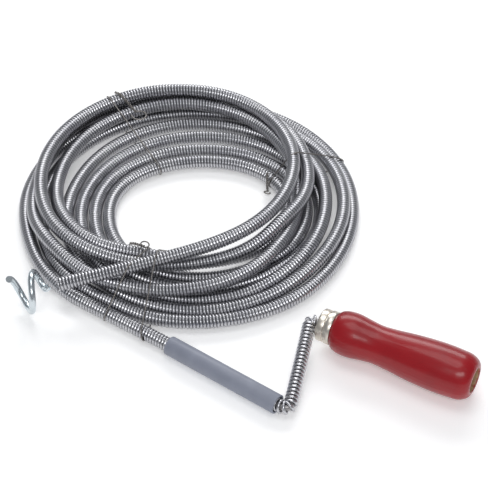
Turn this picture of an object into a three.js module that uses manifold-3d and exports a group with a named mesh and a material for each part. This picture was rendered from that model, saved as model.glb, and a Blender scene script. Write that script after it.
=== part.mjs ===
// A hand-cranked drain snake: a long close-wound steel spring cable lying in a tied coil, with a corkscrew
// hook at one end and, at the other, a guide sleeve, a bent crank and a turned wooden handle.
// Millimetres, +Z up. The origin is on the floor, under the middle of the crank, sleeve and handle.
// +X runs along the guide sleeve, from the coil towards the crank.

import * as THREE from "three";
import { mergeVertices } from "three/addons/utils/BufferGeometryUtils.js";
import Module from "manifold-3d";

// ---------------------------------------------------------------- driving dimensions

const GAP = 0.3; // left between pieces that touch
const CABLE_D = 9; // outside diameter of the spring cable
const WIRE_D = 2; // wire that the cable is wound from
const SLEEVE_LENGTH = 80;
const SLEEVE_D = 12;
const SLEEVE_BORE_D = 9.8;
const SLEEVE_MOUTH_X = -84.4;
const SLEEVE_Y = -41;
const ROD_D = 4.4; // steel rod inside the sleeve, the crank arm and the handle
const ARM_SPRING_D = 8.6; // the same spring, stretched open
const CRANK_X = 3.6; // where the sleeve's axis and the arm's axis cross
const ARM_TOP = [-22.9, 19.2]; // where the arm's axis and the handle's axis cross
const LOWER_BEND = 6.3; // how far before and after the corner each bend starts and ends
const UPPER_BEND = 4.5;
const HANDLE_ANGLE = THREE.MathUtils.degToRad(8.8); // handle's axis, turned from +X about +Z
const HANDLE_D = 30; // widest part of the grip
const HANDLE_LENGTH = 90.5; // wood that shows behind the ferrule
const FERRULE_D = 21;
const FERRULE_LENGTH = 9.4;
const FERRULE_START = 6.8; // from the arm's top to the ferrule's face
const COUNTERBORE_D = 15;
const COUNTERBORE_DEPTH = 9;
const COIL_CENTRE = [-149.4, 64.1];
const COIL_INNER_R = 46;
const COIL_OUTER_R = 111;
const COIL_HEIGHT = 27;
const HOOK_WIRE_D = 4.2;
const HOOK_R = 11.4; // from the hook's axis to the middle of its wire
const HOOK_PITCH = 15;
const TIE_WIRE_D = 1;

// ---------------------------------------------------------------- materials

const springSteel = new THREE.MeshStandardMaterial({ color: 0x9a9aa2, roughness: 0.3, metalness: 1 });
const rodSteel = new THREE.MeshStandardMaterial({ color: 0x77777c, roughness: 0.4, metalness: 1 });
const zincPlate = new THREE.MeshStandardMaterial({ color: 0xb9bec2, roughness: 0.25, metalness: 1 });
const nickelPlate = new THREE.MeshStandardMaterial({ color: 0xd9d4c6, roughness: 0.15, metalness: 1 });
const tieSteel = new THREE.MeshStandardMaterial({ color: 0x6b6864, roughness: 0.4, metalness: 1 });
const greyPlastic = new THREE.MeshStandardMaterial({ color: 0x8c90a0, roughness: 0.45, metalness: 0 });
const redLacquer = new THREE.MeshStandardMaterial({ color: 0xa81c24, roughness: 0.3, metalness: 0 });

// ---------------------------------------------------------------- helpers

const object = new THREE.Group();

function piece(name, geometry, material, parent = object) {
  const mesh = new THREE.Mesh(geometry, material);
  mesh.name = name;
  parent.add(mesh);
  return mesh;
}

function point(x, y, z) {
  return new THREE.Vector3(x, y, z);
}

// A round bar, or a tube if it has a bore, along a curve.
function roundBar(curve, diameter, steps, sides = 12, bore = 0) {
  const section = new THREE.Shape();
  section.absarc(0, 0, diameter / 2, 0, 2 * Math.PI);
  if (bore > 0) {
    const hole = new THREE.Path();
    hole.absarc(0, 0, bore / 2, 0, 2 * Math.PI, true);
    section.holes.push(hole);
  }
  // A full circle is cut into twice as many sides as curveSegments.
  return new THREE.ExtrudeGeometry(section, { steps, curveSegments: sides / 2, extrudePath: curve });
}

// Straight stretches through the corner points, with a smooth bend cut into each corner.
function bentLine(corners, setbacks) {
  const line = new THREE.CurvePath();
  let start = corners[0];
  for (let i = 1; i < corners.length - 1; i++) {
    const corner = corners[i];
    const setback = setbacks[i - 1];
    const before = corner.clone().add(corners[i - 1].clone().sub(corner).setLength(setback));
    const after = corner.clone().add(corners[i + 1].clone().sub(corner).setLength(setback));
    line.add(new THREE.LineCurve3(start, before));
    line.add(new THREE.QuadraticBezierCurve3(before, corner, after));
    start = after;
  }
  line.add(new THREE.LineCurve3(start, corners[corners.length - 1]));
  return line;
}

// A solid turned about +X from a closed outline of [distance along X, radius] points.
function turned(outline, segments = 40) {
  const profile = outline.map(([along, radius]) => new THREE.Vector2(radius, along));
  const geometry = new THREE.LatheGeometry([...profile, profile[0].clone()], segments);
  geometry.rotateZ(-Math.PI / 2);
  return geometry;
}

// Points of a quarter ellipse, for the rounded shoulders of turned pieces.
function roundEdge(centre, along, radius, from, to, count) {
  const points = [];
  for (let i = 0; i <= count; i++) {
    const angle = THREE.MathUtils.degToRad(from + ((to - from) * i) / count);
    points.push([centre[0] + along * Math.cos(angle), centre[1] + radius * Math.sin(angle)]);
  }
  return points;
}

const wasm = await Module();
wasm.setup();

function toSolid(geometry) {
  const bare = geometry.clone();
  bare.deleteAttribute("normal");
  bare.deleteAttribute("uv");
  const merged = mergeVertices(bare, 1e-4);
  const vertProperties = merged.attributes.position.array;
  const triVerts = new Uint32Array(merged.index.array);
  return new wasm.Manifold(new wasm.Mesh({ numProp: 3, vertProperties, triVerts }));
}

function toGeometry(solid) {
  const mesh = solid.getMesh();
  const geometry = new THREE.BufferGeometry();
  geometry.setAttribute("position", new THREE.BufferAttribute(mesh.vertProperties, 3));
  geometry.setIndex(new THREE.BufferAttribute(mesh.triVerts, 1));
  geometry.computeVertexNormals();
  return geometry;
}

// ---------------------------------------------------------------- the crank's axes

const sleeveZ = SLEEVE_D / 2; // the sleeve lies on the floor
const handleZ = HANDLE_D / 2; // and so does the widest part of the grip
const crankCorner = point(CRANK_X, SLEEVE_Y, sleeveZ);
const armTop = point(...ARM_TOP, handleZ);
const handleAlong = point(Math.cos(HANDLE_ANGLE), Math.sin(HANDLE_ANGLE), 0);

function onHandle(distance) {
  return armTop.clone().addScaledVector(handleAlong, distance);
}

const woodStart = FERRULE_START + FERRULE_LENGTH; // distances along the handle's axis
const handleEnd = woodStart + HANDLE_LENGTH;
const boltFloor = handleEnd - COUNTERBORE_DEPTH; // floor of the counterbore

// ---------------------------------------------------------------- coil of cable

// The outer shape of the tied coil: flat below, highest over its inner turns, low at its outer edge.
function coilSection() {
  const outline = new THREE.Path();
  outline.moveTo(COIL_INNER_R + 5, 0);
  outline.lineTo(COIL_OUTER_R - 4.5, 0);
  outline.quadraticCurveTo(COIL_OUTER_R, 0, COIL_OUTER_R, 5);
  outline.quadraticCurveTo(COIL_OUTER_R, 12, COIL_OUTER_R - 9, 15);
  outline.lineTo(COIL_OUTER_R - 20, COIL_HEIGHT - 6);
  outline.quadraticCurveTo(COIL_OUTER_R - 28, COIL_HEIGHT, COIL_OUTER_R - 40, COIL_HEIGHT);
  outline.quadraticCurveTo(COIL_INNER_R + 4, COIL_HEIGHT, COIL_INNER_R, COIL_HEIGHT - 13);
  outline.lineTo(COIL_INNER_R, 6);
  outline.quadraticCurveTo(COIL_INNER_R, 0, COIL_INNER_R + 5, 0);
  return outline.getPoints(4);
}

function cableCoil() {
  const ring = new THREE.LatheGeometry(coilSection(), 48);
  ring.rotateX(Math.PI / 2);
  const coil = piece("cable_coil", ring, springSteel);
  coil.position.set(...COIL_CENTRE, 0);
}

// ---------------------------------------------------------------- free ends of the cable

const LEAD = [
  [SLEEVE_MOUTH_X + 6, SLEEVE_Y, 6.0],
  [-88, SLEEVE_Y, 5.8],
  [-95, SLEEVE_Y - 0.1, 5.3],
  [-101.4, SLEEVE_Y - 0.4, 5.0],
];

// The last stretch lies on the coil, crosses its edge and ends in the air, held by its own stiffness.
const TAIL = [
  [-145.2, -31.0, 24.6],
  [-149.5, -36.8, 23.8],
  [-157.8, -46.8, 22.2],
  [-165.5, -54.6, 19.6],
];

function cord(name, points, steps) {
  const curve = new THREE.CatmullRomCurve3(points.map((p) => point(...p)));
  piece(name, roundBar(curve, CABLE_D, steps), springSteel);
}

// ---------------------------------------------------------------- corkscrew hook

const tailEnd = point(...TAIL[3]);
const hookAlong = point(-0.62, -0.77, -0.15).normalize();

// A left-handed open helix that starts on the cable's axis and opens to its full radius in half a turn.
class Corkscrew extends THREE.Curve {
  getPoint(t) {
    const across = new THREE.Vector3().crossVectors(point(0, 0, 1), hookAlong).normalize();
    const upwards = new THREE.Vector3().crossVectors(hookAlong, across);
    const turns = 1.45;
    const angle = 2 * Math.PI * (turns * t - 0.56);
    const opening = THREE.MathUtils.smoothstep(t, 0.0, 0.3);
    const along = GAP + 1 + HOOK_PITCH * turns * t;
    return tailEnd
      .clone()
      .addScaledVector(hookAlong, along)
      .addScaledVector(upwards, HOOK_R * opening * Math.cos(angle))
      .addScaledVector(across, HOOK_R * opening * Math.sin(angle));
  }
}

function hookTip() {
  piece("hook_tip", roundBar(new Corkscrew(), HOOK_WIRE_D, 40, 10), zincPlate);
}

// ---------------------------------------------------------------- wire ties round the coil

// Each tie follows the coil's section, just clear of it. The stretch that would pass under the coil is
// left out, so that the coil lies flat.
function tieCurve() {
  const clear = GAP + TIE_WIRE_D / 2 + 0.2;
  const outline = coilSection();
  const points = [];
  for (let i = 1; i < outline.length - 1; i++) {
    const along = outline[i + 1].clone().sub(outline[i - 1]).normalize();
    const r = outline[i].x + clear * along.y;
    const z = outline[i].y - clear * along.x;
    if (z > TIE_WIRE_D / 2 && outline[i].y > 0.5) points.push(point(r, 0, z));
  }
  return new THREE.CatmullRomCurve3(points);
}

function tie(name, degrees) {
  const wire = piece(name, roundBar(tieCurve(), TIE_WIRE_D, 26, 8), tieSteel);
  wire.position.set(...COIL_CENTRE, 0);
  wire.rotation.z = THREE.MathUtils.degToRad(degrees);
}

// ---------------------------------------------------------------- crank

// The cable's last stretch is wound tight on the rod inside the sleeve.
function cableShank() {
  const start = point(SLEEVE_MOUTH_X + 6 + GAP, SLEEVE_Y, sleeveZ);
  const end = point(SLEEVE_MOUTH_X + SLEEVE_LENGTH - 2, SLEEVE_Y, sleeveZ);
  const tube = roundBar(new THREE.LineCurve3(start, end), CABLE_D, 1, 16, CABLE_D - 2 * WIRE_D);
  piece("cable_shank", tube, springSteel);
}

// Past the sleeve the same spring is stretched open over the bent rod, up to the upper bend.
function armSpring() {
  const start = point(SLEEVE_MOUTH_X + SLEEVE_LENGTH - 2 + GAP, SLEEVE_Y, sleeveZ);
  const end = armTop.clone().add(crankCorner.clone().sub(armTop).setLength(UPPER_BEND));
  const curve = bentLine([start, crankCorner, end], [LOWER_BEND]);
  piece("arm_spring", roundBar(curve, ARM_SPRING_D, 36, 14, CABLE_D - 2 * WIRE_D), springSteel);
}

// One steel rod, bent twice. Its end is headed over the washer in the handle's counterbore.
function crankRod() {
  const start = point(SLEEVE_MOUTH_X + 10, SLEEVE_Y, sleeveZ);
  const corners = [start, crankCorner, armTop, onHandle(boltFloor + 2.2)];
  const bar = roundBar(bentLine(corners, [LOWER_BEND, UPPER_BEND]), ROD_D, 90, 12);
  const head = turned(
    [
      [0, 0],
      [0, 3.3],
      ...roundEdge([0.6, 0], 1.6, 3.3, 90, 0, 4),
    ],
    20,
  );
  head.rotateZ(HANDLE_ANGLE);
  head.translate(...onHandle(boltFloor + 1.8).toArray());
  piece("crank_rod", toGeometry(toSolid(bar).add(toSolid(head))), rodSteel);
}

function guideSleeve() {
  const outer = SLEEVE_D / 2;
  const inner = SLEEVE_BORE_D / 2;
  const rim = 0.35; // chamfer on both ends
  const sleeve = piece(
    "guide_sleeve",
    turned([
      [0, inner],
      [0, outer - rim],
      [rim, outer],
      [SLEEVE_LENGTH - rim, outer],
      [SLEEVE_LENGTH, outer - rim],
      [SLEEVE_LENGTH, inner],
    ]),
    greyPlastic,
  );
  sleeve.position.set(SLEEVE_MOUTH_X, SLEEVE_Y, sleeveZ);
}

// ---------------------------------------------------------------- handle

const handleFrame = new THREE.Group();
handleFrame.position.copy(armTop);
handleFrame.rotation.z = HANDLE_ANGLE;
object.add(handleFrame);

const RUNNING_BORE_R = ROD_D / 2 + GAP;
const TENON_R = FERRULE_D / 2 - 1.3;

// Turned wood: a tenon in the ferrule, a front bulge, a waist, a long belly and a rounded end.
function handleGrip() {
  const wide = HANDLE_D / 2;
  const front = woodStart + GAP;
  const swell = new THREE.SplineCurve(
    [
      [front, 10.2],
      [front + 2.5, 12.3],
      [front + 7, 13.5],
      [front + 13, 13.6],
      [front + 20, 12.6],
      [front + 28, 11.8],
      [front + 37, 12.4],
      [front + 50, 13.9],
      [front + 63, 14.8],
      [front + 72, wide - 0.05],
      [front + 80, 14.6],
    ].map(([x, r]) => new THREE.Vector2(x, r)),
  );
  const body = swell.getPoints(26).map((p) => [p.x, p.y]);
  const rounding = roundEdge([front + 80, COUNTERBORE_D / 2], HANDLE_LENGTH - 80 - GAP, 14.6 - COUNTERBORE_D / 2, 90, 0, 7);
  const outline = [
    [FERRULE_START + 1.6, RUNNING_BORE_R],
    [FERRULE_START + 1.6, TENON_R],
    [front, TENON_R],
    ...body,
    ...rounding.slice(1),
    [boltFloor, COUNTERBORE_D / 2],
    [boltFloor, RUNNING_BORE_R],
  ];
  piece("handle_grip", turned(outline, 36), redLacquer, handleFrame);
}

// A drawn cap over the tenon, with a groove round its middle and a hole for the rod.
function ferrule() {
  const outer = FERRULE_D / 2;
  const back = FERRULE_START + FERRULE_LENGTH;
  const middle = FERRULE_START + 5.2;
  piece(
    "ferrule",
    turned([
      [FERRULE_START, RUNNING_BORE_R + 0.2],
      [FERRULE_START, outer - 1.6],
      [FERRULE_START + 1.3, outer - 0.4],
      [middle - 0.8, outer - 0.4],
      [middle, outer - 0.9],
      [middle + 0.8, outer],
      [back, outer],
      [back, TENON_R + GAP],
      [FERRULE_START + 1.3, TENON_R + GAP],
      [FERRULE_START + 1.3, RUNNING_BORE_R + 0.2],
    ]),
    nickelPlate,
    handleFrame,
  );
}

// Keeps the grip on the rod. It lies on the floor of the counterbore, under the rod's head.
function rearWasher() {
  const start = boltFloor + GAP;
  const outline = [
    [start, RUNNING_BORE_R],
    [start, 6],
    [start + 1.2, 6],
    [start + 1.2, RUNNING_BORE_R],
  ];
  piece("rear_washer", turned(outline, 28), zincPlate, handleFrame);
}

// ---------------------------------------------------------------- assembly

cableCoil();
cord("cable_lead", LEAD, 3);
cord("cable_tail", TAIL, 4);
hookTip();
tie("tie_back", 156);
tie("tie_right", 60);
tie("tie_front_left", -81);
tie("tie_front_right", -66);
cableShank();
armSpring();
crankRod();
guideSleeve();
ferrule();
handleGrip();
rearWasher();

export default object;
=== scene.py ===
# %% [markdown]
# # A hand-cranked drain snake
# This tool clears a blocked drain. Nearly five metres of close-wound steel spring are pushed down the pipe, a
# corkscrew hook on the far end winds itself into the blockage, and a short crank with a wooden grip turns the
# whole cable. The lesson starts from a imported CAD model, which fixes every size and every joint, and gives it
# its looks.

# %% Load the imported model
import math

import bpy
import numpy as np
from mathutils import Matrix, Vector


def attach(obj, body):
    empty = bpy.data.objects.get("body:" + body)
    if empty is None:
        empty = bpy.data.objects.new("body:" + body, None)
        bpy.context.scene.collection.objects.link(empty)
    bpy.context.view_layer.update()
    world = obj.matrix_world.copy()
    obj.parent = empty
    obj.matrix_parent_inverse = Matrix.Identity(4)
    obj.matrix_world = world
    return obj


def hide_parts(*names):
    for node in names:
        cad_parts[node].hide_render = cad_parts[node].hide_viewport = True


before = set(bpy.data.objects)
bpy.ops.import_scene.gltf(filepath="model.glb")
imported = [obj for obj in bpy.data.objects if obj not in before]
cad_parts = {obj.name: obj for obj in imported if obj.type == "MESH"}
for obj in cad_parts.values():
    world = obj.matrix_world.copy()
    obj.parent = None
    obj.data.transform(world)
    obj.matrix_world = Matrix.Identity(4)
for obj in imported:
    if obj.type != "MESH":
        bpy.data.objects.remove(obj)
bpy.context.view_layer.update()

MM = 0.001

# %% [markdown]
# ## Camera
# The tool lies flat, so it is seen from above at a slant. A long lens far away keeps the round coil from
# looking stretched. The camera is placed by a heading, a downward angle and a distance from one point on the
# floor, which is easier to adjust than three coordinates and three rotations.

# %% Place the camera
VIEW_HEADING = math.radians(36)  # anticlockwise from +Y
VIEW_DROP = math.radians(44)
VIEW_DISTANCE = 1.113
VIEW_POINT = Vector((-0.1034, 0.0616, 0.0))
VIEW_LENS = 127.3
FILM_WIDTH = 36

looking = Vector((
    -math.sin(VIEW_HEADING) * math.cos(VIEW_DROP),
    math.cos(VIEW_HEADING) * math.cos(VIEW_DROP),
    -math.sin(VIEW_DROP),
))
bpy.ops.object.camera_add(
    location=VIEW_POINT - looking * VIEW_DISTANCE,
    rotation=looking.to_track_quat("-Z", "Y").to_euler(),
)
camera = bpy.context.object
camera.data.lens = VIEW_LENS
camera.data.sensor_width = FILM_WIDTH
bpy.context.scene.camera = camera

# %% [markdown]
# ## Route of the cable
# The cable is one length of spring. It leaves the guide sleeve, goes round the pile about nine times from the
# outside inwards and then back out over the top, and its last stretch lies across the pile, towards the
# hook. Where it isn't coiled, its points are listed. The turns are worked out by a loop: each turn has
# a reach and a height to its front, left, back and right, and every quarter blends into the next.

# %% Points and turns
CABLE_D = 9 * MM
COIL_CENTRE = np.array([-149.4, 64.1]) * MM
LEAN = math.radians(36)  # a turn's front, left, back and right are turned this far from -Y, -X, Y and X
ACROSS = np.array([math.cos(LEAN), math.sin(LEAN)])
BACK = np.array([-math.sin(LEAN), math.cos(LEAN)])

LEAD = np.array([
    (-78.6, -41.0, 6.0), (-84.4, -41.0, 6.0), (-92.0, -41.0, 5.9),
    (-101.4, -41.2, 5.7), (-114.0, -41.5, 5.6), (-128.0, -42.2, 5.5),
]) * MM
TAIL = np.array([
    (-140.1, 151.1, 24.5), (-128.6, 145.3, 24.5), (-119.0, 138.4, 24.5), (-110.4, 129.6, 24.5),
    (-103.0, 119.0, 24.5), (-97.4, 107.4, 24.5), (-93.6, 96.4, 24.5), (-91.2, 84.0, 24.5),
    (-90.7, 72.3, 24.5), (-92.5, 58.4, 24.5), (-95.8, 46.9, 24.5), (-101.4, 33.3, 24.5),
    (-107.8, 21.1, 24.8), (-114.7, 9.6, 25.2), (-122.0, -1.2, 25.2), (-133.1, -16.9, 24.8),
    (-144.5, -31.5, 23.5), (-155.2, -43.4, 21.7), (-165.5, -54.6, 19.6),
]) * MM

# One row for each turn, from the first, outside and below, to the last, on top, in millimetres: how far the
# turn reaches to the front, left, back and right of the coil's centre, and how high it lies there.
TURNS = np.array([
    (107.5, 107.5, 107.5, 107.5, 5.5, 5.5, 5.5, 5.5),
    (105.0, 98.3, 97.0, 103.0, 8.0, 5.5, 5.5, 14.0),
    (96.0, 80.0, 86.0, 90.0, 6.0, 5.5, 5.5, 15.0),
    (86.5, 71.5, 72.0, 88.0, 5.5, 5.5, 5.5, 5.5),
    (77.0, 64.0, 58.0, 78.5, 5.5, 6.0, 5.5, 5.5),
    (67.5, 56.0, 46.0, 69.0, 5.5, 5.5, 5.5, 5.5),
    (55.0, 88.0, 96.5, 72.0, 10.0, 13.5, 17.5, 13.5),
    (86.0, 103.0, 107.5, 77.0, 14.0, 13.5, 14.0, 21.0),
    (64.0, 98.5, 102.5, 64.0, 17.0, 21.5, 24.0, 24.5),
]) * MM
FIRST_TURN = 33 / 360
LAST_TURN = 8 + 220 / 360
QUARTERS = 4


# %% Helpers for lines
def curve_through(points, per_span=12):
    """A smooth Catmull-Rom curve through the points."""
    p = np.vstack([2 * points[0] - points[1], points, 2 * points[-1] - points[-2]])
    spans = []
    for a, b, c, d in zip(p[:-3], p[1:-2], p[2:-1], p[3:]):
        f = np.linspace(0, 1, per_span, endpoint=False)[:, None]
        square = (2 * a - 5 * b + 4 * c - d) * f**2 / 2
        cube = (3 * b - a - 3 * c + d) * f**3 / 2
        spans.append(b + (c - a) * f / 2 + square + cube)
    return np.vstack(spans + [points[-1:]])


def lengths(points):
    steps = np.linalg.norm(np.diff(points, axis=0), axis=1)
    return np.concatenate([[0], np.cumsum(steps)])


def at_lengths(line, wanted, values=None):
    """Points of the line at the wanted lengths along it, or what values holds there."""
    s = lengths(line)
    values = line if values is None else values
    return np.column_stack([np.interp(wanted, s, values[:, k]) for k in range(3)])


def evenly(points, step):
    whole = lengths(points)[-1]
    return at_lengths(points, np.linspace(0, whole, round(whole / step) + 1))


def rounded(points, reach):
    """A running mean over reach points to each side, which keeps both ends in place."""
    before = 2 * points[0] - points[reach:0:-1]
    after = 2 * points[-1] - points[-2:-reach - 2:-1]
    padded = np.vstack([before, points, after])
    window = np.ones(2 * reach + 1) / (2 * reach + 1)
    return np.column_stack([np.convolve(padded[:, k], window, "valid") for k in range(3)])


# %% The turns as a loop
def turns_line(per_turn=120):
    turn_numbers = np.arange(len(TURNS) * QUARTERS) / QUARTERS
    quarters = np.column_stack([turn_numbers, TURNS[:, :QUARTERS].ravel(), TURNS[:, QUARTERS:].ravel()])
    t, reach, height = curve_through(quarters, per_span=per_turn // QUARTERS).T
    inside = (t > FIRST_TURN) & (t < LAST_TURN)
    t, reach, height = t[inside], reach[inside], height[inside]
    along = -reach * np.sin(2 * math.pi * t)
    away = -reach * np.cos(2 * math.pi * t)
    flat = COIL_CENTRE + along[:, None] * ACROSS + away[:, None] * BACK
    return np.column_stack([flat, height])


# %% [markdown]
# ## Settling the pile
# Turns placed by numbers alone would pass through each other. A real pile is held apart by contact, pulled down
# by weight, kept smooth by the spring's stiffness and held together by its ties. The loop below does the same
# to the line: each round bends it smooth, lets it sink, and pushes apart any two strands closer than a
# diameter. It is a small simulation of a rope, and gives the same pile on every run.

# %% Settle the line
SPACING = 4.5 * MM  # between points of the line
STRAND_GAP = 9.25 * MM  # nearest that two strands' centres should lie
FLOOR = 5.5 * MM  # lowest centre, which leaves room for a tie wire below
OUTER = 107.5 * MM  # the ties hold every strand inside this radius
PUSH = 1.4  # a little more than the overlap, so that few rounds are enough
SAME_STRAND = 3.2 * STRAND_GAP  # nearer along the cable than this, two points are one strand
BENDS_PER_ROUND = 4
PUSHES_PER_ROUND = 4
ROUNDS_PER_LIST = 6  # the list of near points is made anew after so many rounds
LIST_MARGIN = 4 * MM
JOINS_REACH = 6  # points over which the joins of lead, turns and tail are softened
FREE_TAIL = 8  # points of the tail, from where it meets the turns, that may still settle


def push_apart(line, a, b):
    apart = line[a] - line[b]
    gap = np.linalg.norm(apart, axis=1)
    short = np.clip(STRAND_GAP - gap, 0, None)
    push = (short / np.maximum(gap, 0.01 * MM))[:, None] * apart / 2
    total = np.zeros_like(line)
    count = np.zeros(len(line))
    for ends, sign in ((a, 1), (b, -1)):
        np.add.at(total, ends, sign * push)
        np.add.at(count, ends, short > 0)
    return line + PUSH * total / np.maximum(count, 1)[:, None]


def held_in(line):
    line[:, 2] = np.maximum(line[:, 2], FLOOR)
    out = line[:, :2] - COIL_CENTRE
    radius = np.linalg.norm(out, axis=1)
    line[:, :2] = COIL_CENTRE + out * np.minimum(1, OUTER / radius)[:, None]
    return line


def settled(start, held_start, held_end, rounds=260, stiffness=0.6, sink=0.12 * MM, memory=0.06):
    count = len(start)
    index = np.arange(count)
    free = ((index >= held_start) & (index < count - held_end))[:, None]
    other_strand = np.triu(index[None, :] - index[:, None] > SAME_STRAND / SPACING)
    line = start.copy()
    for turn in range(rounds):
        calm = 1 - turn / rounds
        moved = line.copy()
        for _ in range(BENDS_PER_ROUND):
            bend = moved[:-4] - 4 * moved[1:-3] + 6 * moved[2:-2] - 4 * moved[3:-1] + moved[4:]
            moved[2:-2] -= stiffness * bend / 6
        moved += memory * calm * (start - line)
        moved[:, 2] -= sink * calm
        line = np.where(free, moved, start)
        if turn % ROUNDS_PER_LIST == 0:
            gap = np.linalg.norm(line[:, None] - line[None], axis=2)
            a, b = np.nonzero(other_strand & (gap < STRAND_GAP + LIST_MARGIN))
        for _ in range(PUSHES_PER_ROUND):
            line = np.where(free, held_in(push_apart(line, a, b)), line)
    return line


lead = evenly(curve_through(LEAD), SPACING)
tail = evenly(curve_through(TAIL), SPACING)
rough = evenly(np.vstack([lead, turns_line(), tail]), SPACING)
route = settled(rounded(rough, JOINS_REACH), held_start=len(lead), held_end=len(tail) - FREE_TAIL)

# %% [markdown]
# ## The spring cable
# The cable is steel wire wound turn against turn, so its surface is one long screw of round ridges. Its more
# than 2300 turns would be far too heavy as swept wire. Here the tube's own grid is sheared into a helix: three
# rows of points to each turn, one row in the valley and two on the crest, and each row climbs one wire pitch as
# it goes round. The thread is real geometry, and costs no more than plain rings would.

# %% Helpers for meshes
def deselect():
    if bpy.context.object and bpy.context.object.mode != "OBJECT":
        bpy.ops.object.mode_set(mode="OBJECT")
    bpy.ops.object.select_all(action="DESELECT")


def select_only(obj):
    deselect()
    obj.select_set(True)
    bpy.context.view_layer.objects.active = obj


def finish_piece(obj, name, body, slot, material, *nodes, smooth=True):
    """Names the piece, gives it its finish, joins it to its body and hides the CAD nodes it stands for."""
    obj.name = name
    obj.data.name = name
    obj.data.materials.clear()
    obj.data.materials.append(material)
    if smooth:
        obj.data.shade_smooth()
    if nodes:
        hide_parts(*nodes)
    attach(obj, body)
    return obj


def directions(points):
    ahead = np.gradient(points, axis=0)
    return ahead / np.linalg.norm(ahead, axis=1)[:, None]


# %% The threaded tube
WIRE_PITCH = 2.05 * MM
ROWS = 3  # rows of points to each turn of wire
SIDES = 12
CREST_R = 4.46 * MM
VALLEY_R = 3.55 * MM


def threaded_tube(name, line):
    """A closed threaded tube along the line. It stops more than one wire pitch short of the line's end."""
    whole = lengths(line)[-1]
    rows = int((whole / WIRE_PITCH - 1) * ROWS)
    k, j = np.meshgrid(np.arange(rows), np.arange(SIDES), indexing="ij")
    s = WIRE_PITCH * (k / ROWS + j / SIDES)
    centre = at_lengths(line, s.ravel())
    ahead = at_lengths(line, s.ravel(), directions(line))
    side = np.cross([0, 0, 1], ahead)
    side /= np.linalg.norm(side, axis=1)[:, None]
    up = np.cross(ahead, side)
    turn = (2 * math.pi * j / SIDES).ravel()[:, None]
    radius = np.where(k % ROWS == 0, VALLEY_R, CREST_R).ravel()[:, None]
    points = centre + radius * (np.cos(turn) * side + np.sin(turn) * up)

    def vertex(row, step):
        wraps = step // SIDES
        return (row + ROWS * wraps) * SIDES + step % SIDES

    faces = []
    corners = []
    last = rows - ROWS - 1
    for row in range(last):
        for step in range(SIDES):
            near, far = vertex(row, step), vertex(row + 1, step)
            faces.append((near, vertex(row, step + 1), vertex(row + 1, step + 1), far))
            a, b = step / SIDES, (step + 1) / SIDES
            corners += [(a, row / ROWS), (b, row / ROWS), (b, (row + 1) / ROWS), (a, (row + 1) / ROWS)]
    for row, flip in ((0, True), (last, False)):
        middle = len(points)
        points = np.vstack([points, at_lengths(line, [WIRE_PITCH * (row / ROWS + 0.5)])])
        rim = [vertex(row, step) for step in range(SIDES)]
        rim += [vertex(row + r, 0) for r in range(ROWS, 0, -1)]
        for a, b in zip(rim, rim[1:] + rim[:1]):
            faces.append((a, middle, b) if flip else (a, b, middle))
            corners += [(0.5, row / ROWS)] * 3
    mesh = bpy.data.meshes.new(name)
    mesh.from_pydata(points.tolist(), [], faces)
    thread = mesh.uv_layers.new(name="thread")
    thread.data.foreach_set("uv", np.array(corners, dtype=np.float32).ravel())
    obj = bpy.data.objects.new(name, mesh)
    bpy.context.collection.objects.link(obj)
    return obj


# %% [markdown]
# ## Workshop tone, a node group
# No used surface has one even tone or one even gloss. One node group makes both changes: a slow noise for the
# tone and a fine noise for the gloss. It is built once and placed in each material with its own values, so all
# the pieces look as if they came from one workshop.

# %% Build the workshop_tone group
FINE_SCALE = 900  # the fine noise changes about once in a millimetre
COLOUR_A, COLOUR_B, COLOUR_OUT = 6, 7, 2  # places of a Mix node's colour sockets


def group_socket(group, name, way, kind, value=None):
    socket = group.interface.new_socket(name=name, in_out=way, socket_type=kind)
    if value is not None:
        socket.default_value = value


def link(tree, start, end):
    tree.links.new(start, end)


def tone_group():
    group = bpy.data.node_groups.new("workshop_tone", "ShaderNodeTree")
    group_socket(group, "Vector", "INPUT", "NodeSocketVector")
    group_socket(group, "Clean", "INPUT", "NodeSocketColor", (0.6, 0.6, 0.62, 1))
    group_socket(group, "Worn", "INPUT", "NodeSocketColor", (0.4, 0.4, 0.42, 1))
    group_socket(group, "Patch scale", "INPUT", "NodeSocketFloat", 40.0)
    group_socket(group, "Gloss", "INPUT", "NodeSocketFloat", 0.3)
    group_socket(group, "Gloss spread", "INPUT", "NodeSocketFloat", 0.1)
    group_socket(group, "Color", "OUTPUT", "NodeSocketColor")
    group_socket(group, "Roughness", "OUTPUT", "NodeSocketFloat")
    group_socket(group, "Fine", "OUTPUT", "NodeSocketFloat")
    source = group.nodes.new("NodeGroupInput")
    result = group.nodes.new("NodeGroupOutput")
    patches = group.nodes.new("ShaderNodeTexNoise")
    patches.inputs["Detail"].default_value = 3
    fine = group.nodes.new("ShaderNodeTexNoise")
    fine.inputs["Scale"].default_value = FINE_SCALE
    fine.inputs["Detail"].default_value = 2
    mix = group.nodes.new("ShaderNodeMix")
    mix.data_type = "RGBA"
    spread = group.nodes.new("ShaderNodeMath")
    spread.operation = "MULTIPLY_ADD"
    link(group, source.outputs["Vector"], patches.inputs["Vector"])
    link(group, source.outputs["Patch scale"], patches.inputs["Scale"])
    link(group, source.outputs["Vector"], fine.inputs["Vector"])
    link(group, patches.outputs["Fac"], mix.inputs["Factor"])
    link(group, source.outputs["Clean"], mix.inputs[COLOUR_A])
    link(group, source.outputs["Worn"], mix.inputs[COLOUR_B])
    link(group, fine.outputs["Fac"], spread.inputs[0])
    link(group, source.outputs["Gloss spread"], spread.inputs[1])
    link(group, source.outputs["Gloss"], spread.inputs[2])
    link(group, mix.outputs[COLOUR_OUT], result.inputs["Color"])
    link(group, spread.outputs[0], result.inputs["Roughness"])
    link(group, fine.outputs["Fac"], result.inputs["Fine"])
    return group


WORKSHOP_TONE = tone_group()


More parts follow.
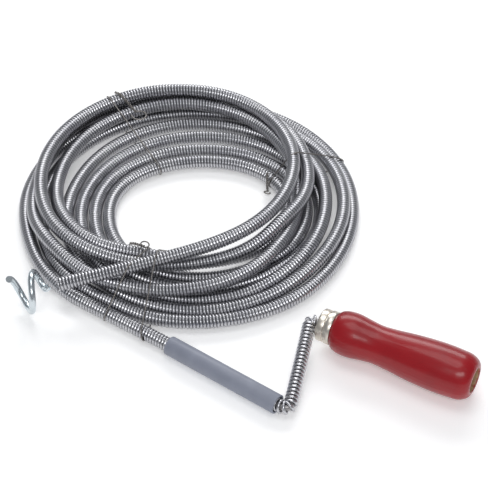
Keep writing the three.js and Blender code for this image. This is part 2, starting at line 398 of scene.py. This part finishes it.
# %% Helpers for materials
def node(tree, kind, **settings):
    made = tree.nodes.new(kind)
    for name, value in settings.items():
        setattr(made, name, value)
    return made


def new_material(name):
    material = bpy.data.materials.new(name)
    material.use_nodes = True
    shader = material.node_tree.nodes["Principled BSDF"]
    return material, material.node_tree, shader


def toned(tree, shader, clean, worn, patch_scale, gloss, gloss_spread):
    """Places the workshop_tone group on Object coordinates and joins it to the shader."""
    place = node(tree, "ShaderNodeTexCoord")
    tone = node(tree, "ShaderNodeGroup", node_tree=WORKSHOP_TONE)
    tone.inputs["Clean"].default_value = (*clean, 1)
    tone.inputs["Worn"].default_value = (*worn, 1)
    tone.inputs["Patch scale"].default_value = patch_scale
    tone.inputs["Gloss"].default_value = gloss
    tone.inputs["Gloss spread"].default_value = gloss_spread
    link(tree, place.outputs["Object"], tone.inputs["Vector"])
    link(tree, tone.outputs["Color"], shader.inputs["Base Color"])
    link(tree, tone.outputs["Roughness"], shader.inputs["Roughness"])
    return place, tone


def bumped(tree, shader, height, strength, distance):
    bump = node(tree, "ShaderNodeBump")
    bump.inputs["Strength"].default_value = strength
    bump.inputs["Distance"].default_value = distance
    link(tree, height, bump.inputs["Height"])
    link(tree, bump.outputs["Normal"], shader.inputs["Normal"])


# %% [markdown]
# ## Finish of the spring steel
# The wire is bright drawn steel. Each ridge shines on its crest, and the valleys between the ridges hold oil
# and lie in shade. The cable's own map runs once round in U and one wire turn in V, so the fraction of V says
# how far a point is from the valley. That fraction darkens the valley's colour, partly for the oil and partly
# as painted shade, and rounds the crest, which the mesh alone can't afford.

# %% Spring steel
def spring_steel(threaded):
    material, tree, shader = new_material("threaded_spring_steel" if threaded else "spring_wire_steel")
    shader.inputs["Metallic"].default_value = 1
    _, tone = toned(tree, shader, (0.70, 0.70, 0.71), (0.44, 0.44, 0.48), 60, 0.27, 0.05)
    if not threaded:
        bumped(tree, shader, tone.outputs["Fine"], 0.1, 0.04 * MM)
        return material
    thread = node(tree, "ShaderNodeUVMap", uv_map="thread")
    split = node(tree, "ShaderNodeSeparateXYZ")
    part = node(tree, "ShaderNodeMath", operation="FRACT")
    centred = node(tree, "ShaderNodeMath", operation="SUBTRACT")
    centred.inputs[1].default_value = 0.5
    square = node(tree, "ShaderNodeMath", operation="POWER")
    square.inputs[1].default_value = 2
    rise = node(tree, "ShaderNodeMath", operation="MULTIPLY_ADD")
    rise.inputs[1].default_value = -3.9
    rise.inputs[2].default_value = 1
    wire = node(tree, "ShaderNodeMath", operation="SQRT")
    valley = node(tree, "ShaderNodeMapRange")
    valley.inputs["From Min"].default_value = 0.42
    valley.inputs["From Max"].default_value = 0.97
    # Painted shade: near the valley the base colour is mixed towards near black, partly for oil in the groove
    # and partly for the shade that falls there.
    oil_and_painted_shade = node(tree, "ShaderNodeMix", data_type="RGBA")
    oil_and_painted_shade.inputs[COLOUR_A].default_value = (0.035, 0.035, 0.045, 1)
    link(tree, thread.outputs["UV"], split.inputs[0])
    link(tree, split.outputs["Y"], part.inputs[0])
    link(tree, part.outputs[0], centred.inputs[0])
    link(tree, centred.outputs[0], square.inputs[0])
    link(tree, square.outputs[0], rise.inputs[0])
    link(tree, rise.outputs[0], wire.inputs[0])
    link(tree, wire.outputs[0], valley.inputs["Value"])
    link(tree, valley.outputs[0], oil_and_painted_shade.inputs["Factor"])
    link(tree, tone.outputs["Color"], oil_and_painted_shade.inputs[COLOUR_B])
    link(tree, oil_and_painted_shade.outputs[COLOUR_OUT], shader.inputs["Base Color"])
    bumped(tree, shader, wire.outputs[0], 0.35, 0.5 * MM)
    return material


CABLE_STEEL = spring_steel(True)
WIRE_STEEL = spring_steel(False)

# %% Make the cable
fine_route = rounded(evenly(route, 0.7 * MM), 7)
cable = threaded_tube("spring_cable", fine_route)
finish_piece(
    cable, "spring_cable", "cable", "spring_steel", CABLE_STEEL,
    "cable_coil", "cable_lead", "cable_tail",
)
print("cable:", len(cable.data.vertices), "points,", len(cable.data.polygons), "faces")

# %% [markdown]
# ## Wire helper
# The hook, the open coils on the crank arm, the rod and the tie wires are all round wire along a line. By hand
# this is a path with its points moved into place, a round bevel and closed ends, converted to a mesh.

# %% Round wire along a line
def wire(name, points, diameter, roundness=3):
    deselect()
    bpy.ops.curve.primitive_nurbs_path_add(location=(0, 0, 0))
    path = bpy.context.object
    curve = path.data
    curve.splines.clear()
    spline = curve.splines.new("POLY")
    spline.points.add(len(points) - 1)
    spline.points.foreach_set("co", np.column_stack([points, np.ones(len(points))]).ravel())
    curve.bevel_depth = diameter / 2
    curve.bevel_resolution = roundness
    curve.use_fill_caps = True
    curve.twist_mode = "MINIMUM"
    path.name = name
    bpy.ops.object.convert(target="MESH")
    return bpy.context.object


def joined(*objects):
    deselect()
    for obj in objects:
        obj.select_set(True)
    bpy.context.view_layer.objects.active = objects[0]
    if len(objects) > 1:
        bpy.ops.object.join()
    return bpy.context.object


def outward(obj):
    """Turns every face outwards."""
    select_only(obj)
    bpy.ops.object.mode_set(mode="EDIT")
    bpy.ops.mesh.select_all(action="SELECT")
    bpy.ops.mesh.normals_make_consistent(inside=False)
    bpy.ops.object.mode_set(mode="OBJECT")
    return obj


# %% [markdown]
# ## Corkscrew hook
# The hook is a short length of thick zinc-plated wire. It starts on the cable's own axis, a few millimetres
# past the last ridge of the spring, and opens out into a left-handed corkscrew with its tip cut square. It is
# wire along a helix whose radius grows from nothing.

# %% Zinc plate and the hook
def zinc_plate():
    material, tree, shader = new_material("bright_zinc_plate")
    shader.inputs["Metallic"].default_value = 1
    _, tone = toned(tree, shader, (0.76, 0.81, 0.83), (0.44, 0.50, 0.54), 90, 0.21, 0.06)
    bumped(tree, shader, tone.outputs["Fine"], 0.05, 0.02 * MM)
    return material


ZINC_PLATE = zinc_plate()
HOOK_WIRE_D = 4.2 * MM
HOOK_R = 11.4 * MM
HOOK_PITCH = 15 * MM
HOOK_TURNS = 1.45
HOOK_START = TAIL[-1]
HOOK_HEADING = np.array([-0.62, -0.77, -0.15])
HOOK_ALONG = HOOK_HEADING / np.linalg.norm(HOOK_HEADING)
HOOK_STANDOFF = 1.3 * MM  # from the end of the cable's line to the helix's first point
HOOK_OPEN_BY = 0.3  # part of its length over which the helix opens to its full radius
HOOK_FIRST_TURN = -0.56  # where round the axis the helix starts, in turns


def corkscrew(steps=90):
    t = np.linspace(0, 1, steps)[:, None]
    across = np.cross([0, 0, 1], HOOK_ALONG)
    across /= np.linalg.norm(across)
    upwards = np.cross(HOOK_ALONG, across)
    angle = 2 * math.pi * (HOOK_TURNS * t + HOOK_FIRST_TURN)
    opening = np.clip(t / HOOK_OPEN_BY, 0, 1)
    opening = opening * opening * (3 - 2 * opening)
    along = HOOK_STANDOFF + HOOK_PITCH * HOOK_TURNS * t
    ring = np.cos(angle) * upwards + np.sin(angle) * across
    return HOOK_START + HOOK_ALONG * along + HOOK_R * opening * ring


hook = wire("corkscrew_hook", corkscrew(), HOOK_WIRE_D, roundness=6)
hook = finish_piece(outward(hook), "corkscrew_hook", "hook", "zinc_plate", ZINC_PLATE, "hook_tip")

# %% [markdown]
# ## Turned pieces
# The sleeve, the ferrule, the grip, the washer and the rod's head are all round about one axis. Each is started
# as a circle of the first radius, extruded step by step along the axis and scaled to the next radius, as a
# turner would follow a pattern. Where the outline closes on itself, the last ring is merged with the first.

# %% Turn a piece from its outline
def turned(name, outline, origin, axis, sides=64, closed=True):
    """outline lists (distance along the axis, radius) from the first ring to the last."""
    deselect()
    first_x, first_r = outline[0]
    bpy.ops.mesh.primitive_circle_add(vertices=sides, radius=first_r, location=(0, 0, 0))
    obj = bpy.context.object
    obj.name = name
    bpy.ops.object.mode_set(mode="EDIT")
    bpy.ops.mesh.select_all(action="SELECT")
    bpy.ops.transform.translate(value=(0, 0, first_x))
    for (x0, r0), (x1, r1) in zip(outline, outline[1:]):
        bpy.ops.mesh.extrude_edges_move(TRANSFORM_OT_translate={"value": (0, 0, x1 - x0)})
        scale = r1 / r0
        bpy.ops.transform.resize(value=(scale, scale, 1), center_override=(0, 0, x1))
    if closed:
        bpy.ops.mesh.select_all(action="SELECT")
        bpy.ops.mesh.remove_doubles(threshold=0.002 * MM)
    else:
        bpy.ops.mesh.select_all(action="DESELECT")
        bpy.ops.object.mode_set(mode="OBJECT")
        bpy.ops.object.mode_set(mode="EDIT")
        bpy.ops.mesh.select_non_manifold()
        bpy.ops.mesh.edge_face_add()
    bpy.ops.mesh.select_all(action="SELECT")
    bpy.ops.mesh.normals_make_consistent(inside=False)
    bpy.ops.object.mode_set(mode="OBJECT")
    lean = Vector(axis).to_track_quat("Z", "Y").to_matrix().to_4x4()
    obj.matrix_world = Matrix.Translation(origin) @ lean
    bpy.ops.object.transform_apply(location=True, rotation=True, scale=True)
    return obj


def arc(centre_x, centre_r, size_x, size_r, start, end, steps):
    """Points of an outline along an ellipse, from one angle to another, in degrees."""
    angles = np.radians(np.linspace(start, end, steps + 1))
    return [(centre_x + size_x * math.cos(a), centre_r + size_r * math.sin(a)) for a in angles]


# %% [markdown]
# ## Guide sleeve
# One hand holds the cable by this tube while the other cranks. It is a piece of grey plastic pipe, cut square
# and slightly broken at both rims, dull from handling, with long faint scratches. The scratches are a noise
# stretched along the tube, so that they stay long when the tube turns.

# %% Grey plastic and the sleeve
def grey_plastic():
    material, tree, shader = new_material("grey_plastic_tube")
    place, _ = toned(tree, shader, (0.29, 0.31, 0.38), (0.20, 0.215, 0.27), 120, 0.34, 0.22)
    stretch = node(tree, "ShaderNodeMapping")
    stretch.inputs["Scale"].default_value = (0.08, 1, 1)
    scratches = node(tree, "ShaderNodeTexNoise")
    scratches.inputs["Scale"].default_value = 1400
    scratches.inputs["Detail"].default_value = 4
    link(tree, place.outputs["Object"], stretch.inputs["Vector"])
    link(tree, stretch.outputs["Vector"], scratches.inputs["Vector"])
    bumped(tree, shader, scratches.outputs["Fac"], 0.12, 0.3 * MM)
    return material


def smooth_to(obj, degrees=30):
    select_only(obj)
    bpy.ops.object.shade_smooth_by_angle(angle=math.radians(degrees))


SLEEVE_MOUTH = Vector((-84.4, -41.0, 6.0)) * MM
SLEEVE_LENGTH = 80 * MM
SLEEVE_R = 6 * MM
SLEEVE_BORE_R = 4.9 * MM
RIM = 0.35 * MM

sleeve_outline = [
    (0, SLEEVE_BORE_R + RIM / 2),
    (0, SLEEVE_R - RIM),
    (RIM / 3, SLEEVE_R - RIM / 3),
    (RIM, SLEEVE_R),
    (SLEEVE_LENGTH - RIM, SLEEVE_R),
    (SLEEVE_LENGTH - RIM / 3, SLEEVE_R - RIM / 3),
    (SLEEVE_LENGTH, SLEEVE_R - RIM),
    (SLEEVE_LENGTH, SLEEVE_BORE_R + RIM / 2),
    (SLEEVE_LENGTH - RIM / 2, SLEEVE_BORE_R),
    (RIM / 2, SLEEVE_BORE_R),
    (0, SLEEVE_BORE_R + RIM / 2),
]
sleeve = turned("guide_tube", sleeve_outline, SLEEVE_MOUTH, (1, 0, 0), sides=72)
finish_piece(sleeve, "guide_tube", "sleeve", "grey_plastic", grey_plastic(), "guide_sleeve", smooth=False)
smooth_to(sleeve)

# %% [markdown]
# ## Crank rod and the spring on its arm
# One steel rod runs from inside the sleeve, up the arm and through the grip. The cable's last coils are pulled
# open over it. These coils are few enough to make as true wire, and they are bent with the rod: at both bends
# the wire fans out on the outside of the corner.

# %% The crank's line
CRANK_CORNER = np.array([3.6, -41.0, 6.0]) * MM
ARM_TOP = np.array([-22.9, 19.2, 15.0]) * MM
GRIP_TURN = math.radians(8.8)
GRIP_ALONG = np.array([math.cos(GRIP_TURN), math.sin(GRIP_TURN), 0])
LOWER_BEND = 6.3 * MM
UPPER_BEND = 4.5 * MM


def toward(start, end, distance):
    return start + (end - start) / np.linalg.norm(end - start) * distance


def bent_line(corners, setbacks, per_bend=16):
    """Straight between the corners, with a smooth curve cut into each corner."""
    points = [corners[0]]
    for before, corner, after, setback in zip(corners, corners[1:], corners[2:], setbacks):
        start, end = toward(corner, before, setback), toward(corner, after, setback)
        for f in np.linspace(0, 1, per_bend):
            points.append(start * (1 - f) ** 2 + 2 * corner * f * (1 - f) + end * f**2)
    return np.array(points + [corners[-1]])


def coiled(line, radius, pitch, per_turn=22):
    """A helix round the line."""
    turns = lengths(line)[-1] / pitch
    s = np.linspace(0, lengths(line)[-1], int(turns * per_turn))
    centre = at_lengths(line, s)
    ahead = directions(rounded(centre, 10))
    side = [np.array([0.0, 1.0, 0.0])]
    for direction in ahead[1:]:
        turned_side = side[-1] - direction * (side[-1] @ direction)
        side.append(turned_side / np.linalg.norm(turned_side))
    side = np.array(side)
    up = np.cross(ahead, side)
    angle = (2 * math.pi * s / pitch)[:, None]
    return centre + radius * (np.cos(angle) * side + np.sin(angle) * up)


# %% Steel of the rod
def rod_steel():
    material, tree, shader = new_material("dull_rod_steel")
    shader.inputs["Metallic"].default_value = 1
    _, tone = toned(tree, shader, (0.42, 0.42, 0.44), (0.26, 0.24, 0.23), 150, 0.35, 0.2)
    bumped(tree, shader, tone.outputs["Fine"], 0.15, 0.3 * MM)
    return material


ROD_STEEL = rod_steel()
ROD_D = 4.4 * MM
BOLT_FLOOR = 97.7 * MM  # floor of the counterbore, along the grip from the top of the arm
HEAD_UNDERSIDE = BOLT_FLOOR + 1.8 * MM
HEAD_R = 3.3 * MM
BEND_SETBACKS = [LOWER_BEND, UPPER_BEND]
ARM_SPRING_R = 3.4 * MM
ARM_WIRE_D = 1.8 * MM
ARM_PITCH = 2.6 * MM

rod_start = np.array([-74.4, -41.0, 6.0]) * MM
rod_end = ARM_TOP + GRIP_ALONG * (BOLT_FLOOR + 2.2 * MM)
rod_line = bent_line([rod_start, CRANK_CORNER, ARM_TOP, rod_end], BEND_SETBACKS)
rod = wire("rod", rod_line, ROD_D, roundness=6)
head_outline = [(0, 0.6 * MM), (0, HEAD_R - 0.2 * MM), (0.25 * MM, HEAD_R)]
head_outline += arc(0.6 * MM, 0, 1.6 * MM, HEAD_R, 80, 10, 8)
head_at = ARM_TOP + GRIP_ALONG * HEAD_UNDERSIDE
head = turned("rod_head", head_outline, head_at, GRIP_ALONG, sides=32, closed=False)
rod = joined(outward(rod), head)
finish_piece(rod, "crank_bar", "crank", "rod_steel", ROD_STEEL, "crank_rod", smooth=False)
smooth_to(rod, 40)

spring_start = np.array([-6.1, -41.0, 6.0]) * MM
spring_end = ARM_TOP + GRIP_ALONG * 5.6 * MM
spring_line = evenly(bent_line([spring_start, CRANK_CORNER, ARM_TOP, spring_end], BEND_SETBACKS), 0.2 * MM)
open_coils = wire("open_coils", coiled(spring_line, ARM_SPRING_R, ARM_PITCH), ARM_WIRE_D)
open_coils = outward(open_coils)
finish_piece(open_coils, "open_arm_coils", "crank", "spring_steel", WIRE_STEEL, "arm_spring")
print("arm coils:", round(lengths(spring_line)[-1] / ARM_PITCH), "turns")

# %% [markdown]
# ## Ferrule
# A drawn and plated cap holds the front of the grip together, so that the wood can't split round the rod. A
# groove is rolled into it to lock it on the tenon, which leaves two bands with a soft shine.

# %% Nickel plate and the ferrule
def nickel_plate():
    material, tree, shader = new_material("warm_nickel_plate")
    shader.inputs["Metallic"].default_value = 1
    _, tone = toned(tree, shader, (0.82, 0.77, 0.69), (0.60, 0.55, 0.48), 130, 0.30, 0.06)
    bumped(tree, shader, tone.outputs["Fine"], 0.02, 0.01 * MM)
    return material


FERRULE_START = 6.8 * MM
FERRULE_END = 16.2 * MM
BAND_R = 10.1 * MM
FACE_R = 8.2 * MM
CAP_INSIDE_R = 9.55 * MM
CAP_HOLE_R = 2.7 * MM
CAP_WALL = 1.3 * MM
GROOVE_R = BAND_R - 0.75 * MM
ferrule_outline = [(FERRULE_START, CAP_HOLE_R), (FERRULE_START, FACE_R)]
ferrule_outline += arc(FERRULE_START + CAP_WALL, FACE_R, -CAP_WALL, BAND_R - FACE_R, 20, 90, 6)
ferrule_outline += [
    (11.1 * MM, BAND_R),
    (11.45 * MM, BAND_R - 0.15 * MM),
    (11.75 * MM, GROOVE_R),
    (12.05 * MM, GROOVE_R),
    (12.35 * MM, BAND_R + 0.15 * MM),
    (12.8 * MM, BAND_R + 0.4 * MM),
    (FERRULE_END - 0.5 * MM, BAND_R + 0.4 * MM),
    (FERRULE_END, BAND_R + 0.1 * MM),
    (FERRULE_END, CAP_INSIDE_R),
    (FERRULE_START + CAP_WALL, CAP_INSIDE_R),
    (FERRULE_START + CAP_WALL, CAP_HOLE_R),
    (FERRULE_START, CAP_HOLE_R),
]
cap = turned("plated_ferrule", ferrule_outline, ARM_TOP, GRIP_ALONG, sides=96)
finish_piece(cap, "plated_ferrule", "handle", "nickel_plate", nickel_plate(), "ferrule", smooth=False)
smooth_to(cap, 40)

# %% [markdown]
# ## Wooden grip
# The grip is turned from beech and dipped in thick red lacquer. Its outline has a front bulge for the thumb, a
# waist and a long belly. Under the lacquer the grain still shows as long shallow ripples, which break up the
# shine. The counterbore was drilled after dipping, so it shows bare wood.

# %% Red lacquer
BARE_OUTSIDE = 7.35 * MM  # radii between which the lacquer gives way to bare wood
BARE_INSIDE = 7.05 * MM
RAGGED_EDGE = 0.9 * MM


def on_grip_axis(tree, place):
    """Object coordinates moved so that X runs along the grip's axis from the top of the arm."""
    moved = node(tree, "ShaderNodeMapping")
    turn_back = Matrix.Rotation(-GRIP_TURN, 3, "Z")
    moved.inputs["Rotation"].default_value = (0, 0, -GRIP_TURN)
    moved.inputs["Location"].default_value = -(turn_back @ Vector(ARM_TOP))
    link(tree, place.outputs["Object"], moved.inputs["Vector"])
    return moved


def noise_on(tree, source, stretch, scale, detail):
    mapping = node(tree, "ShaderNodeMapping")
    mapping.inputs["Scale"].default_value = stretch
    noise = node(tree, "ShaderNodeTexNoise")
    noise.inputs["Scale"].default_value = scale
    noise.inputs["Detail"].default_value = detail
    link(tree, source.outputs["Vector"], mapping.inputs["Vector"])
    link(tree, mapping.outputs["Vector"], noise.inputs["Vector"])
    return noise


def red_lacquer():
    material, tree, shader = new_material("red_lacquer_on_beech")
    place, tone = toned(tree, shader, (0.38, 0.002, 0.008), (0.22, 0.002, 0.006), 55, 0.30, 0.15)
    shader.inputs["Specular IOR Level"].default_value = 0.3
    shader.inputs["Coat Weight"].default_value = 0.35
    shader.inputs["Coat Roughness"].default_value = 0.16
    axis = on_grip_axis(tree, place)
    grain = noise_on(tree, axis, (0.12, 1, 1), 420, 5)
    wood = node(tree, "ShaderNodeMix", data_type="RGBA")
    wood.inputs[COLOUR_A].default_value = (0.30, 0.18, 0.09, 1)
    wood.inputs[COLOUR_B].default_value = (0.52, 0.36, 0.20, 1)
    split = node(tree, "ShaderNodeSeparateXYZ")
    flat = node(tree, "ShaderNodeCombineXYZ")
    from_axis = node(tree, "ShaderNodeVectorMath", operation="LENGTH")
    ragged = node(tree, "ShaderNodeMath", operation="MULTIPLY_ADD")
    ragged.inputs[1].default_value = -RAGGED_EDGE
    bare = node(tree, "ShaderNodeMapRange")
    bare.inputs["From Min"].default_value = BARE_OUTSIDE
    bare.inputs["From Max"].default_value = BARE_INSIDE
    skin = node(tree, "ShaderNodeMix", data_type="RGBA")
    link(tree, axis.outputs["Vector"], split.inputs[0])
    link(tree, split.outputs["Y"], flat.inputs["Y"])
    link(tree, split.outputs["Z"], flat.inputs["Z"])
    link(tree, flat.outputs[0], from_axis.inputs[0])
    link(tree, grain.outputs["Fac"], ragged.inputs[0])
    link(tree, from_axis.outputs["Value"], ragged.inputs[2])
    link(tree, ragged.outputs[0], bare.inputs["Value"])
    link(tree, grain.outputs["Fac"], wood.inputs["Factor"])
    link(tree, bare.outputs[0], skin.inputs["Factor"])
    link(tree, tone.outputs["Color"], skin.inputs[COLOUR_A])
    link(tree, wood.outputs[COLOUR_OUT], skin.inputs[COLOUR_B])
    link(tree, skin.outputs[COLOUR_OUT], shader.inputs["Base Color"])
    bumped(tree, shader, grain.outputs["Fac"], 0.45, 0.7 * MM)
    return material


# %% Turn the grip
GRIP_FRONT = 16.5 * MM
SWELL = np.array([
    (0, 10.2), (2.5, 12.3), (7, 13.5), (13, 13.6), (20, 12.6), (28, 11.8),
    (37, 12.4), (50, 13.9), (63, 14.8), (72, 14.95), (80, 14.6),
]) * MM  # along the grip from its front, and the radius there
COUNTERBORE_R = 7.5 * MM
TENON_R = 9.2 * MM
ROD_BORE_R = 2.5 * MM
TENON_START = FERRULE_START + 1.6 * MM

grip_outline = [(TENON_START, ROD_BORE_R), (TENON_START, TENON_R), (GRIP_FRONT, TENON_R)]
grip_outline += [(GRIP_FRONT + x, r) for x, r in curve_through(SWELL, per_span=6)]
shoulder = GRIP_FRONT + SWELL[-1][0]
grip_outline += arc(shoulder, 8.4 * MM, 10.2 * MM, 6.2 * MM, 82, 8, 10)
grip_outline += [
    (shoulder + 10.1 * MM, 8.0 * MM),
    (shoulder + 9.7 * MM, 7.65 * MM),
    (shoulder + 9.0 * MM, COUNTERBORE_R),
    (BOLT_FLOOR, COUNTERBORE_R),
    (BOLT_FLOOR, ROD_BORE_R),
    (TENON_START, ROD_BORE_R),
]
grip = turned("wooden_grip", grip_outline, ARM_TOP, GRIP_ALONG, sides=128)
finish_piece(grip, "wooden_grip", "handle", "red_lacquer", red_lacquer(), "handle_grip", smooth=False)
smooth_to(grip, 35)

# %% [markdown]
# ## Washer
# A zinc washer lies on the floor of the counterbore, under the rod's headed end, and keeps the grip on the
# rod while it turns. It is a short turned ring with broken edges.

# %% Turn the washer
washer_at = BOLT_FLOOR + 0.3 * MM
washer_outline = [
    (washer_at, 2.5 * MM),
    (washer_at, 5.8 * MM),
    (washer_at + 0.2 * MM, 6.0 * MM),
    (washer_at + 1.0 * MM, 6.0 * MM),
    (washer_at + 1.2 * MM, 5.8 * MM),
    (washer_at + 1.2 * MM, 2.7 * MM),
    (washer_at + 1.0 * MM, 2.5 * MM),
    (washer_at, 2.5 * MM),
]
washer = turned("counterbore_washer", washer_outline, ARM_TOP, GRIP_ALONG, sides=48)
finish_piece(washer, "counterbore_washer", "crank", "zinc_plate", ZINC_PLATE, "rear_washer", smooth=False)
smooth_to(washer)

# %% [markdown]
# ## Tie wires
# Soft steel wire is wrapped round the pile in four places and twisted shut by hand. Each loop is pulled tight,
# so it takes the shape of a rubber band round the strands that cross it. The loop is found in the same way:
# circles are drawn round the cut strands, and the band round all of them is their convex outline. The twists
# are two wires wound round each other, and the loose ends curl.

# %% The band round the strands
TIE_D = 1.0 * MM
TIE_CLEAR = CABLE_D / 2 + TIE_D / 2
TIE_WIRE_D = 0.92 * TIE_D  # the wire itself, a little thinner than the room it is given
NEAR_ENOUGH = 20  # degrees within which a strand can cross the plane of a tie
TIE_TOP = 8 * MM  # above this the outline is the top of the pile
NO_DRIFT = np.zeros(3)


def strands_at(degrees):
    """(radius, height) of each strand where it crosses that angle round the coil."""
    out = route[:, :2] - COIL_CENTRE
    angle = np.degrees(np.arctan2(out[:, 1], out[:, 0])) - degrees
    angle = (angle + 180) % 360 - 180
    crosses = np.nonzero((angle[:-1] * angle[1:] < 0) & (np.abs(angle[:-1]) < NEAR_ENOUGH))[0]
    cuts = []
    for i in crosses:
        f = angle[i] / (angle[i] - angle[i + 1])
        x, y = out[i] * (1 - f) + out[i + 1] * f
        cuts.append((math.hypot(x, y), route[i, 2] * (1 - f) + route[i + 1, 2] * f))
    return cuts


def band(cuts, clear):
    """The outline of a tight band round circles at the cuts, anticlockwise."""
    angles = np.linspace(0, 2 * math.pi, 40, endpoint=False)
    dots = sorted((r + clear * math.cos(a), z + clear * math.sin(a)) for r, z in cuts for a in angles)

    def half(ordered):
        kept = []
        for p in ordered:
            while len(kept) > 1:
                (ax, ay), (bx, by) = kept[-2], kept[-1]
                if (bx - ax) * (p[1] - ay) - (by - ay) * (p[0] - ax) > 0:
                    break
                kept.pop()
            kept.append(p)
        return kept[:-1]

    return half(dots) + half(dots[::-1])


def place_on_coil(degrees, r, z):
    a = math.radians(degrees)
    return np.array([COIL_CENTRE[0] + r * math.cos(a), COIL_CENTRE[1] + r * math.sin(a), max(z, TIE_D / 2)])


def tie_loop(degrees, slant):
    """A closed loop round the pile. slant turns the part on top against the part below, in degrees."""
    outline = band(strands_at(degrees), TIE_CLEAR)
    top = max(z for r, z in outline)
    points = [place_on_coil(degrees + slant * z / top, r, z) for r, z in outline]
    line = evenly(np.array(points + points[:1]), 1.2 * MM)
    soft = rounded(np.vstack([line[-6:-1], line, line[1:6]]), 2)[5:-5]
    soft[:, 2] = np.maximum(soft[:, 2], TIE_D / 2)
    return soft


def twisted(line, pitch=3.2 * MM):
    """Two wires wound round each other along a line."""
    fine = evenly(rounded(evenly(curve_through(np.array(line)), 0.5 * MM), 3), 0.3 * MM)
    first = coiled(fine, 0.5 * MM, pitch)
    return first, 2 * at_lengths(fine, np.linspace(0, lengths(fine)[-1], len(first))) - first


def curl(start, across, up, radius, turns, drift):
    """A loose end that curls round."""
    f = np.linspace(0, 1, 26)[:, None]
    angle = 2 * math.pi * turns * f
    return start + radius * (np.sin(angle) * across + (1 - np.cos(angle)) * up) + f * drift


# %% Tie wire finish
def tie_steel():
    material, tree, shader = new_material("soft_tie_wire")
    shader.inputs["Metallic"].default_value = 1
    _, tone = toned(tree, shader, (0.36, 0.34, 0.33), (0.13, 0.12, 0.11), 200, 0.28, 0.2)
    bumped(tree, shader, tone.outputs["Fine"], 0.1, 0.2 * MM)
    return material


TIE_STEEL = tie_steel()


def tie(name, cad_node, *lines):
    wires = [outward(wire(name, line, TIE_WIRE_D, roundness=2)) for line in lines]
    return finish_piece(joined(*wires), name, "cable", "tie_wire", TIE_STEEL, cad_node)


# %% Tie at the back
def over_pile(degrees, r, extra):
    """A point on top of the pile at that angle and radius, extra above a tight loop."""
    outline = band(strands_at(degrees), TIE_CLEAR + extra)
    radii, heights = zip(*sorted(p for p in outline if p[1] > TIE_TOP))
    return place_on_coil(degrees, r, float(np.interp(r, radii, heights)))


TWIST_LIFT = 0.8 * MM
BACK_WAY = ((155.5, 107), (154.7, 102), (153.9, 96), (153.1, 90), (152.3, 85))  # degrees, radius

back_twist = twisted([over_pile(degrees, r * MM, TWIST_LIFT) for degrees, r in BACK_WAY])
curl_start = over_pile(152.3, 85 * MM, TWIST_LIFT)
inward = -np.append(curl_start[:2] - COIL_CENTRE, 0) / np.linalg.norm(curl_start[:2] - COIL_CENTRE)
sideways = np.cross([0, 0, 1], inward)
back_curl = curl(curl_start, sideways, inward, 5 * MM, 0.8, np.array([0, 0, 1.5 * MM]))
tie_back = tie("back_tie_wire", "tie_back", tie_loop(155, 4), *back_twist, back_curl)

# %% Tie at the right
hole_r = min(r for r, z in strands_at(60)) - TIE_CLEAR
right_twist = twisted([
    place_on_coil(61, hole_r, 14 * MM),
    place_on_coil(58, hole_r - 1.5 * MM, 9 * MM),
    place_on_coil(54, hole_r - 2.5 * MM, 4 * MM),
])
across, up = np.array([-1.0, -0.3, 0]), np.array([0.3, -0.6, 0.2])
right_curl = curl(right_twist[0][-1], across, up, 2 * MM, 0.85, NO_DRIFT)
tie_right = tie("right_tie_wire", "tie_right", tie_loop(60, -3), *right_twist, right_curl)

# %% Ties at the front
upper_strands = [r for r, z in strands_at(-86) if z > 10 * MM]
twist_r = min(upper_strands) - TIE_CLEAR / 2
front_twist = twisted([over_pile(degrees, twist_r, TWIST_LIFT) for degrees in (-92, -89, -85, -81)])
across, up = np.array([1.0, 0.4, 0]), np.array([-0.2, 0.5, 0.5])
front_curl = curl(front_twist[0][-1], across, up, 2.5 * MM, 0.8, NO_DRIFT)
tie_left = tie("front_left_tie_wire", "tie_front_left", tie_loop(-81, 3), *front_twist, front_curl)
tie_front = tie("front_right_tie_wire", "tie_front_right", tie_loop(-66, -3))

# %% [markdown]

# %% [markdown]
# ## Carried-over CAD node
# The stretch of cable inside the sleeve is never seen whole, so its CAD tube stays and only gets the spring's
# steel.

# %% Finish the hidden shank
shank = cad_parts["cable_shank"]
shank.data.materials.clear()
shank.data.materials.append(WIRE_STEEL)

# %% [markdown]
# ## Floor and light
# The tool lies on a white light table, which glows a little and so lifts the shadows. Metal shows only what
# it reflects, so the light matters more than the steel: wide soft panels give every ridge a bright line, and
# the darker room between them gives the line its edges.

# %% Floor
bpy.ops.mesh.primitive_plane_add(size=6, location=(0, 0, 0))
floor = bpy.context.object
floor.name = "studio_floor"
paper, tree, shader = new_material("white_paper")
toned(tree, shader, (0.93, 0.93, 0.93), (0.91, 0.91, 0.91), 3, 0.6, 0.1)
shader.inputs["Emission Color"].default_value = (1, 1, 1, 1)
shader.inputs["Emission Strength"].default_value = 0.22
floor.data.materials.append(paper)


# %% Lights and room
def panel(name, place, aim, size, power):
    bpy.ops.object.light_add(type="AREA", location=place)
    lamp = bpy.context.object
    lamp.name = name
    lamp.data.shape = "RECTANGLE"
    lamp.data.size, lamp.data.size_y = size
    lamp.data.energy = power
    lamp.rotation_euler = (Vector(aim) - Vector(place)).to_track_quat("-Z", "Y").to_euler()


MIDDLE = (-0.1, 0.05, 0)
panel("back_panel", (-0.7, 1.0, 0.9), MIDDLE, (1.2, 0.5), 10)
panel("front_panel", (0.55, -0.75, 1.1), MIDDLE, (0.9, 0.4), 7)
panel("top_panel", (-0.2, 0.1, 1.5), MIDDLE, (0.8, 0.8), 5)

world = bpy.data.worlds.new("studio")
bpy.context.scene.world = world
world.use_nodes = True
world.node_tree.nodes["Background"].inputs["Color"].default_value = (0.92, 0.95, 1, 1)
world.node_tree.nodes["Background"].inputs["Strength"].default_value = 0.3
bpy.context.scene.view_settings.view_transform = "Standard"
